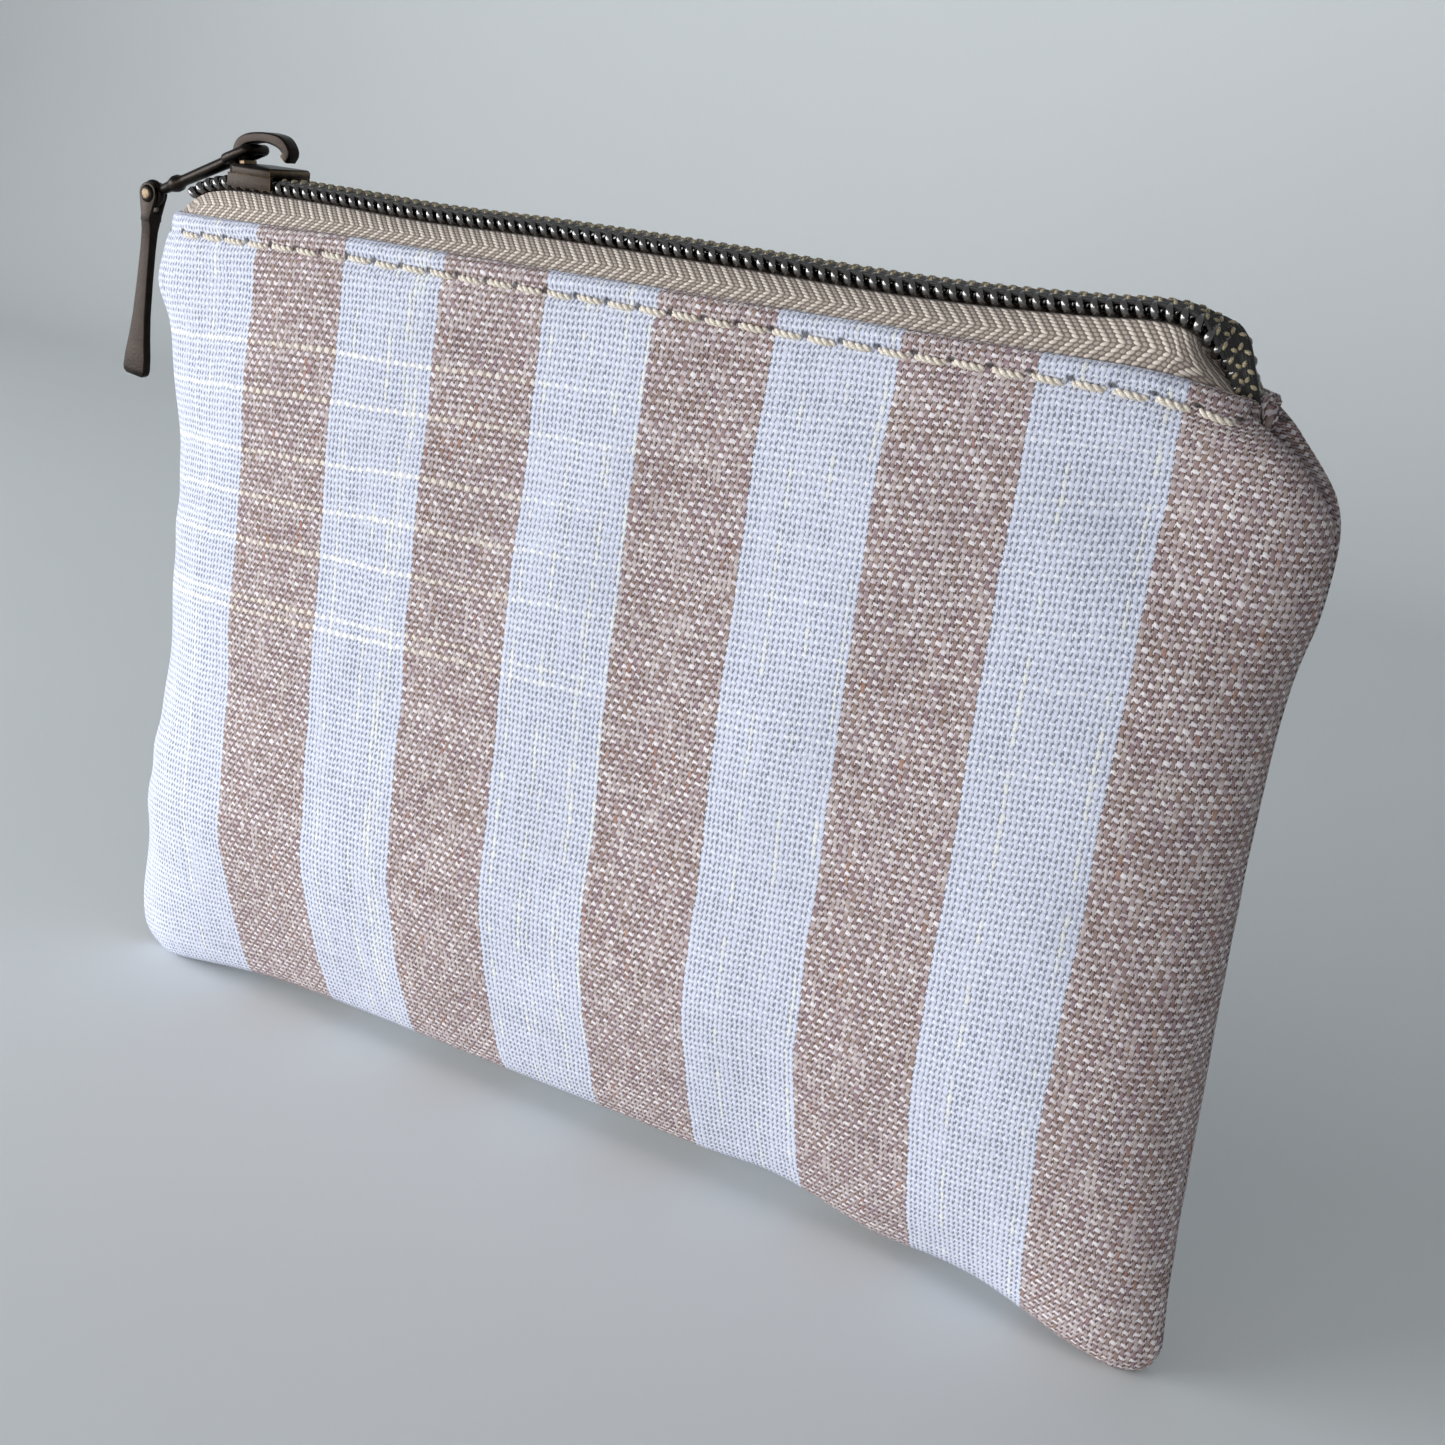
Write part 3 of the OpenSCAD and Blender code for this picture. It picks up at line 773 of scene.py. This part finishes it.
def coil_path(first, last, phase, flip):
    """A flattened coil of wire for one half of the zip. Gives its points and the wire's radius at each."""
    turns = (last - first) / COIL_PITCH
    angle = np.linspace(0, 2 * pi * turns, int(turns * 24))
    reach = (COIL_OUT_Y + COIL_HEAD_Y) / 2
    middle = -(COIL_OUT_Y - COIL_HEAD_Y) / 2
    wide, tall = np.cos(angle), np.sin(angle)
    y = middle + reach * np.sign(wide) * np.abs(wide) ** 0.7
    up = COIL_HALF_H * np.sign(tall) * np.abs(tall) ** 0.75
    length = first + (angle / (2 * pi) + phase) * COIL_PITCH
    radius = WIRE_R + 0.07 * ease((-wide - 0.1) / 0.8)
    return on_chain(length, y * flip, up), radius


def add_coil(side):
    phase = 0.0 if side == "front" else 0.5
    path, radius = coil_path(chain_length_at(-63.2), CHAIN_LEN[-1] - 1.5, phase, FLIP[side])
    obj = tube_object(side + "_coil_wire", [path], radius, COIL, sides=12)
    put_in_place(obj, side + "_zip_coil")


def add_coil_thread(side):
    """Two khaki bars of sewing thread over each loop, on a layer of black cords."""
    flip = FLIP[side]
    first, last = chain_length_at(SLIDER_X1 + 0.5), CHAIN_LEN[-1] - 1
    top = COIL_HALF_H + WIRE_R - 0.06
    # Points of a bar: along the zip, across it, and up
    outer = np.array(((0.30, 0.16, 0.0, -0.12), (-2.02, -1.72, -1.3, -1.02), (-0.12, 0.05, 0.08, 0)))
    inner = np.array(((-0.12, 0.02, 0.16, 0.26), (-0.98, -0.72, -0.42, -0.2), (0, 0.08, 0.06, -0.1)))
    bars = []
    for k, length in enumerate(np.arange(first, last, COIL_PITCH)):
        lean = 0.04 * sin(k * 1.7)
        for (along, y, up), later, askew in ((outer, 0, lean), (inner, 0.62, -lean)):
            bars.append(on_chain(along + length + later + askew, flip * y, top + up))
    line = np.arange(first, last, 0.4)
    cords = [on_chain(line, flip * y, top - low + 0.04 * np.sin(line * 4.8 + y)) for y, low in
             ((-2.08, 0.2), (-1.62, 0.13), (-1.15, 0.1), (-0.66, 0.13), (-0.24, 0.18))]
    bar_verts, bar_faces = tube_parts(bars, [0.1, 0.19, 0.19, 0.1], 8)
    cord_verts, cord_faces = tube_parts(cords, 0.23, 6)
    faces = bar_faces + [[i + len(bar_verts) for i in face] for face in cord_faces]
    mesh = mesh_from(side + "_coil_stitches", bar_verts + cord_verts, faces)
    obj = add_object(mesh.name, mesh, COIL_THREAD, BLACK_THREAD)
    is_cord = np.zeros(len(faces), np.int32)
    is_cord[len(bar_faces):] = 1
    mesh.polygons.foreach_set("material_index", is_cord)
    put_in_place(obj, side + "_coil_thread")


def tape_edge(length, panel):
    """Where the tape goes in behind the folded edge, and down inside the slanted corners."""
    top = panel[FOLD_ROW, TUCKED:-TUCKED]
    x = np.clip(np.interp(length, CHAIN_LEN, CHAIN[:, 0]), TAPE_LEFT_X, TAPE_RIGHT_X)
    y = np.interp(x, top[:, 0], top[:, 1]) + 0.45
    z = np.interp(x, top[:, 0], top[:, 2]) - 0.55
    edge = np.stack([x, y, z], axis=1)
    right, left = chain_length_at(TAPE_RIGHT_X), chain_length_at(TAPE_LEFT_X)
    for past, side, from_z, drop, above, in_x, in_y, haste in (
            ((length - right) / (CHAIN_LEN[-1] - right), 1, 89.6, 12.0, 1.0, 2.0, 0.5, 3.2),
            ((left - length) / left, -1, 88.5, 4.0, 0.0, 2.6, 0.2, 3.0)):
        past = np.clip(past, 0, 1)
        z = from_z - drop * past
        corner = np.stack([side * (half_width(z + above, side) - in_x), -seam_half_gap(z) - in_y, z], axis=1)
        edge = edge + (corner - edge) * ease(past * haste)[:, None]
    return edge


def add_tape(side, panel):
    """The tape runs out from under the coil, sags a little to the fold, and hangs down inside it."""
    flip = FLIP[side]
    length = np.linspace(0.3, CHAIN_LEN[-1] - 0.5, 260)
    rows = [on_chain(length, flip * y, TAPE_UP) for y in (-0.35, -1.0, -1.7, -2.2)]
    start = on_chain(length, flip * -2.6, TAPE_UP - 0.03)
    end = tape_edge(length, panel) * np.array([1, flip, 1])
    for share in np.linspace(0, 1, 15):
        row = start + (end - start) * share
        row[:, 2] += 0.3 * sin(pi * share)
        row[:, 1] -= flip * 0.2 * sin(pi * share)
        rows.append(row)
    rows += [end + [0, -0.05 * flip, -drop] for drop in (1.2, 2.6, 4.2)]
    grid = np.array(rows)
    along = np.broadcast_to(length, grid.shape[:2])
    across = distances(grid[:, len(length) // 2])
    cloth = np.stack([along, np.broadcast_to(across[:, None], along.shape)], axis=2)
    obj = cloth_object(side + "_tape_weave", grid, cloth, TAPE_T, TAPE, flip > 0)
    put_in_place(obj, side + "_zip_tape")


def add_topstitch(side, panel):
    """Two-ply stitches along the fold, each a little askew, dipping into its needle holes."""
    inner = slice(TUCKED + 1, -TUCKED - 1)
    line = panel[STITCH_ROW, inner]
    across = cloth_places(panel, FOLD_ROW)[STITCH_ROW, inner, 0]
    paths = []
    turns = np.linspace(0, 1, 19)
    first = ceil((across[0] + 1.2 - STITCH_SHIFT) / STITCH_PITCH)
    last = floor((across[-1] - 0.6 - STITCH_SHIFT) / STITCH_PITCH)
    for k in range(first, last):
        begin = k * STITCH_PITCH + STITCH_SHIFT + 0.1
        at = begin + turns * (STITCH_PITCH - 0.5)
        place = np.stack([np.interp(at, across, line[:, i]) for i in range(3)], axis=1)
        crown = np.sin(turns * pi) ** 0.5
        place[:, 1] -= -0.26 + 0.5 * crown
        place[:, 2] += 0.16 * (0.5 - turns) + 0.05 * sin(k * 2.3)
        for ply in (0, pi):
            spin = turns * 2 * pi * 2.1 + ply + k * 0.7
            strand = place.copy()
            strand[:, 1] -= 0.14 * np.cos(spin)
            strand[:, 2] -= 0.16 * np.sin(spin)
            paths.append(placed(strand, side))
    radii = 0.11 + 0.10 * np.sin(turns * pi) ** 0.35
    obj = tube_object(side + "_topstitch_thread", paths, radii, CREAM_THREAD)
    put_in_place(obj, side + "_topstitch")


# ---- hidden seams and tacks
def add_allowance(node, rows, across, up=0):
    """A seam allowance of both panels, pressed together inside. The weave runs by across, and by the height."""
    rows = placed(rows)
    cloth = np.stack([np.broadcast_to(across, rows.shape[:2]), up + rows[:, :, 2]], axis=2)
    put_in_place(cloth_object(node + "_allowance", rows, cloth, SEAM_T, LINEN), node)


def add_seams():
    z = np.linspace(4, 84, 60)
    for side, node in ((-1, "side_seam_left"), (1, "side_seam_right")):
        rows = [np.stack([side * (half_width(z, side) - inward), 0.05 * np.sin(z * 0.9 + inward), z], axis=1)
                for inward in np.linspace(0.9, 5.0, 6)]
        add_allowance(node, np.array(rows), np.linspace(0, 4, 6)[:, None])
    x = np.linspace(-57, 57, 90)
    rows = [np.stack([x, 0.05 * np.sin(x * 0.8 + z), z + base_arch(x) * 0.9], axis=1)
            for z in np.linspace(0.5, 4.6, 6)]
    add_allowance("bottom_seam", np.array(rows), x, up=80)


def add_closing_stitch():
    """Running stitches that close the lining along its bottom."""
    low, high = box_mm("lining_closing_stitch")
    t = np.linspace(0, 1, 9)
    paths = [np.stack([x + t * 2.9, 0.25 * np.sin(t * pi * 2), 5.5 + 0.25 * np.sin(t * pi)], axis=1)
             for x in np.arange(low[0], high[0] - 2, STITCH_PITCH)]
    obj = tube_object("lining_closing_thread", paths, 0.2, CREAM_THREAD)
    put_in_place(obj, "lining_closing_stitch")


def add_tack(node, length):
    """Four turns of thread around both tapes."""
    turns = np.linspace(0, 2 * pi * 4, 90)
    path = on_chain(length + turns / 14, 1.7 * np.cos(turns), 0.25 + 0.75 * np.sin(turns))
    obj = tube_object(node + "_thread", [path], 0.18, BLACK_THREAD)
    put_in_place(obj, node)


# ---- metal pieces
def add_loft(bm, sections, ring=False):
    """Joins closed outlines with equal numbers of points. Caps both ends, or closes into a ring."""
    rings = [[bm.verts.new(Vector(p) * MM) for p in section] for section in sections]
    for a, b in zip(rings, rings[1:] + rings[:1] if ring else rings[1:]):
        for i in range(len(a)):
            j = (i + 1) % len(a)
            bm.faces.new([a[i], a[j], b[j], b[i]])
    if not ring:
        bm.faces.new(rings[0][::-1])
        bm.faces.new(rings[-1])


def add_slab(bm, outline, low_z, high_z):
    """An outline in the XY plane, made solid between two heights."""
    add_loft(bm, [[(x, y, z) for x, y in outline] for z in (low_z, high_z)])


def rounded_rectangle(half_a, half_b, radius, steps=5):
    points = []
    for corner, (sa, sb) in enumerate(((1, 1), (-1, 1), (-1, -1), (1, -1))):
        for k in range(steps):
            angle = pi / 2 * (corner + k / (steps - 1))
            points.append((sa * (half_a - radius) + radius * cos(angle),
                           sb * (half_b - radius) + radius * sin(angle)))
    return points


def add_strap(bm, line, half_y, half_t, radius, taper):
    """A rounded strap along a line in the XZ plane. taper scales its width and thickness along it."""
    line = curve_through(line, 0.22)
    sections = []
    for k, (point, way) in enumerate(zip(line, tangents(line))):
        wide, thick = taper(k / (len(line) - 1))
        normal = np.array([-way[1], way[0]])
        outline = rounded_rectangle(half_y * wide, half_t * thick, min(radius, 0.9 * half_t * thick))
        sections.append([(point[0] + normal[0] * b, a, point[1] + normal[1] * b) for a, b in outline])
    add_loft(bm, sections)


def mark_edges(obj, wear):
    """Writes how much each point stands out as an edge, for the wear: the turn over the nearby width."""
    mesh = obj.data
    bm = bmesh.new()
    bm.from_mesh(mesh)
    bm.normal_update()
    sharp = np.zeros(len(bm.verts))
    for edge in bm.edges:
        if len(edge.link_faces) == 2:
            width = min(face.calc_area() / max(edge.calc_length(), 1e-9) for face in edge.link_faces) / MM
            curve = edge.calc_face_angle_signed(0.0) / max(width, 0.02)
            for v in edge.verts:
                sharp[v.index] = max(sharp[v.index], curve)
    bm.free()
    attribute = mesh.attributes.new("edge", "FLOAT", "POINT")
    attribute.data.foreach_set("value", (np.clip((sharp - 2.5) / 4, 0, 1) * wear).astype(np.float32))


def metal_object(name, bm, body, node, bevel=0.0, segments=2, wear=1.0):
    mesh = bpy.data.meshes.new(name)
    bmesh.ops.recalc_face_normals(bm, faces=bm.faces)
    bm.to_mesh(mesh)
    bm.free()
    obj = add_object(name, mesh, BRASS)
    if bevel:
        rounder = obj.modifiers.new("bevel", "BEVEL")
        rounder.width = bevel * MM
        rounder.segments = segments
        rounder.limit_method = "ANGLE"
        rounder.angle_limit = radians(32)
        apply_modifiers(obj)
    smooth(obj.data)
    obj.data.set_sharp_from_angle(angle=radians(50))
    mark_edges(obj, wear)
    put_in_place(obj, node, body)
    return obj


def add_slider_body():
    """Upper plate with a flange down each side, a wedge post in the nose, and a lower plate."""
    bm = bmesh.new()
    x0, x1, top = SLIDER_X0, SLIDER_X1, SLIDER_TOP
    half = [(x0 + 0.1, 1.9), (x0 + 0.55, 2.7), (x0 + 1.5, 3.3), (x0 + 4.2, 3.24), (x1, 3.1)]
    outline = [(x, -y) for x, y in half] + half[::-1]
    add_loft(bm, [[(x, y, top - 0.95) for x, y in outline], [(x, y, top - 0.25) for x, y in outline],
                  [(x0 + (x - x0) * 0.96 + 0.13, y * 0.93, top) for x, y in outline]])
    for side in (-1, 1):
        flange = [(x0 + 0.75, side * 3.3), (x1, side * 3.08), (x1, side * 2.62), (x0 + 0.75, side * 2.8)]
        add_slab(bm, flange[::side], top - 2.35, top - 0.9)
    half = [(x0 + 0.2, 1.5), (x0 + 1.0, 2.3), (x1 - 0.2, 2.1)]
    under = top - 3.3
    add_slab(bm, [(x, -y) for x, y in half] + half[::-1], under - 0.45, under + 0.3)
    post = [(x0 + 0.3, -0.75), (x0 + 1.9, -0.12), (x0 + 1.9, 0.12), (x0 + 0.3, 0.75)]
    add_slab(bm, post, under, top - 0.5)
    metal_object("slider_plates", bm, "slider", "slider_body", bevel=0.16, segments=3)


def add_crown():
    """Open hook over the slider: it rises from the nose, arches over and ends free above the tail."""
    x, z = PIVOT[0], PIVOT[2]
    bm = bmesh.new()
    line = [(x + a, z + b) for a, b in ((-1.7, -1.9), (-2.25, -0.8), (-1.9, 0.35), (-0.7, 1.05), (1.1, 1.35),
                                        (2.7, 1.35), (4.1, 1.0), (4.9, 0.1), (4.5, -0.65))]

    def taper(share):
        return 1.0 - 0.12 * ease((share - 0.75) * 4), 1.0 + 0.15 * bump_at(share, 0.78, 0.12)

    add_strap(bm, line, 0.95, 0.55, 0.22, taper)
    foot = [(x - 2.4, -0.95), (x - 0.9, -0.95), (x - 0.9, 0.95), (x - 2.4, 0.95)]
    add_slab(bm, foot, SLIDER_TOP - 0.3, SLIDER_TOP + 0.35)
    metal_object("slider_hook", bm, "slider", "slider_crown", bevel=0.05)


def add_link():
    """Loop through the crown, tapering stem with a collar, and the eye."""
    reach = float(np.linalg.norm(EYE - PIVOT))
    slope = atan2(PIVOT[2] - EYE[2], PIVOT[0] - EYE[0])
    bm = bmesh.new()
    # The loop is a rectangle of wire with rounded corners
    half_y, length, bend_r = 1.5, 3.7, 0.45
    corners = [(x - length / 2, y) for x, y in rounded_rectangle(length / 2, half_y, bend_r, steps=4)]
    loop = []
    turns = full_turn(16)
    for i in range(len(corners)):
        p, q, r = (np.array(corners[(i + d) % len(corners)]) for d in (-1, 0, 1))
        way = (r - p) / np.linalg.norm(r - p)
        out = np.array([way[1], -way[0]])
        loop.append([(*(q + out * 0.48 * cos(t)), 0.55 * sin(t)) for t in turns])
    add_loft(bm, loop, ring=True)
    # Stem: place along it, half width and half thickness
    profile = [(-length + 0.1, 1.15, 0.55), (-length - 0.6, 1.1, 0.66), (-length - 2.2, 0.85, 0.68),
               (-9.0, 0.72, 0.66), (-11.4, 0.66, 0.62), (-12.1, 0.7, 0.66), (-12.5, 0.96, 0.9), (-13.1, 1.0, 0.94),
               (-13.6, 0.8, 0.78), (-14.1, 0.62, 0.62), (-reach + 1.9, 0.5, 0.58), (-reach + 1.3, 0.4, 0.5)]
    add_loft(bm, [[(x, wide * cos(t), thick * sin(t)) for t in turns] for x, wide, thick in profile])
    add_loft(bm, [[(-reach + cos(a) * (1.16 + 0.4 * cos(t)), 0.44 * sin(t),
                    sin(a) * (1.16 + 0.4 * cos(t))) for t in turns] for a in full_turn(32)], ring=True)
    turn = Matrix.Translation(Vector(PIVOT) * MM) @ Matrix.Rotation(-slope, 4, "Y")
    bmesh.ops.transform(bm, matrix=turn, verts=bm.verts)
    metal_object("puller_link", bm, "pull_link", "pull_link")


def hang(bm):
    """Moves what was made around the origin to the link's eye, hanging at the bar's angle."""
    turn = Matrix.Translation(Vector(EYE) * MM) @ Matrix.Rotation(BAR_HANG, 4, "Y")
    bmesh.ops.transform(bm, matrix=turn, verts=bm.verts)


def add_rivet():
    """Pin through the eye, with a low domed head at each end, its face painted bright as a highlight."""
    bm = bmesh.new()
    half = [(1.24, 0.25), (1.22, 0.5), (1.14, 0.78), (1.02, 0.95), (0.93, 0.98), (0.9, 0.68)]
    profile = [(-y, r) for y, r in half] + half[::-1]
    add_loft(bm, [[(r * cos(t), y, r * sin(t)) for t in full_turn(32)] for y, r in profile])
    hang(bm)
    obj = metal_object("puller_rivet", bm, "pull_bar", "pull_rivet")
    reach = np.array([abs(v.co.y) / MM for v in obj.data.vertices])
    # Painted highlight: the faces of the rivet's heads get the bright brass colour
    wear_and_highlight = ease((reach - 1.1) / 0.1) * 0.85
    obj.data.attributes["edge"].data.foreach_set("value", wear_and_highlight.astype(np.float32))


def add_bar():
    """Two cheeks at the eye join into a neck, and the flat bar widens to a rounded tip."""
    bm = bmesh.new()
    length = EYE[2] - box_mm("pull_bar")[0][2]
    cheek = [(1.27 * cos(a), 1.27 * sin(a)) for a in np.radians(np.linspace(-20, 200, 24))]
    cheek += [(-0.72, -2.4), (-0.7, -3.1), (0.7, -3.1), (0.72, -2.4)]
    for faces_y in ((-0.92, -0.54), (0.54, 0.92)):
        add_loft(bm, [[(x, y, z) for x, z in cheek] for y in faces_y])
    add_loft(bm, [[(a, b, z) for a, b in rounded_rectangle(half_x, half_y, 0.2)] for z, half_x, half_y in
                  ((-2.1, 0.8, 0.9), (-3.0, 0.78, 0.84), (-4.2, 0.78, 0.62), (-6.5, 0.8, 0.54), (-10, 0.88, 0.52),
                   (-14, 1.05, 0.52), (-16.6, 1.33, 0.53), (-18.6, 1.64, 0.54), (-length + 0.8, 1.76, 0.54),
                   (-length + 0.3, 1.64, 0.5), (-length, 1.3, 0.4))])
    hang(bm)
    metal_object("puller_bar", bm, "pull_bar", "pull_bar", bevel=0.06, wear=0.4)


# ---- floor, light and camera
def add_stage():
    """A pale floor that curves up into a pale wall behind."""
    k = Finish("pale_floor", roughness=0.7)
    pale = k.finish(k.shade((232, 236, 236), 0.98 + 0.04 * k.noise(k.place(), 0.01, 2.0)))
    wall_y, curve_r = 330, 250
    profile = [(-1600, 0), (wall_y, 0)]
    profile += [(wall_y + curve_r * sin(a), curve_r - curve_r * cos(a))
                for a in np.linspace(0.1, pi / 2, 14)]
    profile += [(wall_y + curve_r, 1500)]
    grid = np.array([[(x, y, z) for x in np.linspace(-2200, 2200, 12)] for y, z in profile], float)
    mesh = mesh_from("floor", grid.reshape(-1, 3), grid_faces(*grid.shape[:2]).tolist())
    add_object("floor", mesh, pale)


def add_area(name, at, size, power, colour):
    """A rectangular light that faces the middle of the pouch."""
    light = bpy.data.lights.new(name, "AREA")
    light.shape = "RECTANGLE"
    light.size, light.size_y = size
    light.energy = power
    light.color = colour
    obj = add_object(name, light)
    obj.location = at
    obj.rotation_euler = (Vector((0, 0, 0.05)) - Vector(at)).to_track_quat("-Z", "Y").to_euler()
    obj.visible_camera = False


def add_lights():
    add_area("window", (-0.5, -0.36, 0.12), (0.5, 0.24), 3.9, (0.94, 0.97, 1.0))
    add_area("room", (-0.15, -0.9, 0.09), (0.8, 0.17), 2.3, (1.0, 0.98, 0.97))
    world = bpy.data.worlds.new("soft_room")
    bpy.context.scene.world = world
    world.use_nodes = True
    background = world.node_tree.nodes["Background"]
    background.inputs["Color"].default_value = (0.92, 0.95, 1.0, 1)
    background.inputs["Strength"].default_value = 0.28


def add_camera():
    """A close camera in front of the pouch's right half, looking down to the left."""
    data = bpy.data.cameras.new("camera")
    data.lens = 46.9
    data.sensor_width = 36
    camera = add_object("camera", data)
    right = Vector((0.8509, 0.5151, 0.1067))
    up = Vector((-0.2461, 0.2121, 0.9457))
    back = Vector((0.4643, -0.8307, 0.3069))
    turn = Matrix((right, up, back)).transposed().to_4x4()
    camera.matrix_world = Matrix.Translation((0.0976, -0.1569, 0.1067)) @ turn
    bpy.context.scene.camera = camera


# ---- build
add_camera()
add_lights()
add_stage()
for half in ("front", "back"):
    panel = add_panel(half)
    add_inner_layer(half, "_interfacing", "interfacing_fleece", CLOTH_T + 0.02, FLEECE_T, 84, FLEECE)
    add_inner_layer(half, "_lining", "lining_cotton", CLOTH_T + FLEECE_T + 0.85, LINING_T, 89.5, LINING)
    add_tape(half, panel)
    add_coil(half)
    add_coil_thread(half)
    add_topstitch(half, panel)
add_seams()
add_closing_stitch()
add_tack("zip_tack_left", chain_length_at(-63.0))
add_tack("zip_tack_right", chain_length_at(60.0))
add_slider_body()
add_crown()
add_link()
add_rivet()
add_bar()
bpy.context.scene.view_settings.view_transform = "Standard"
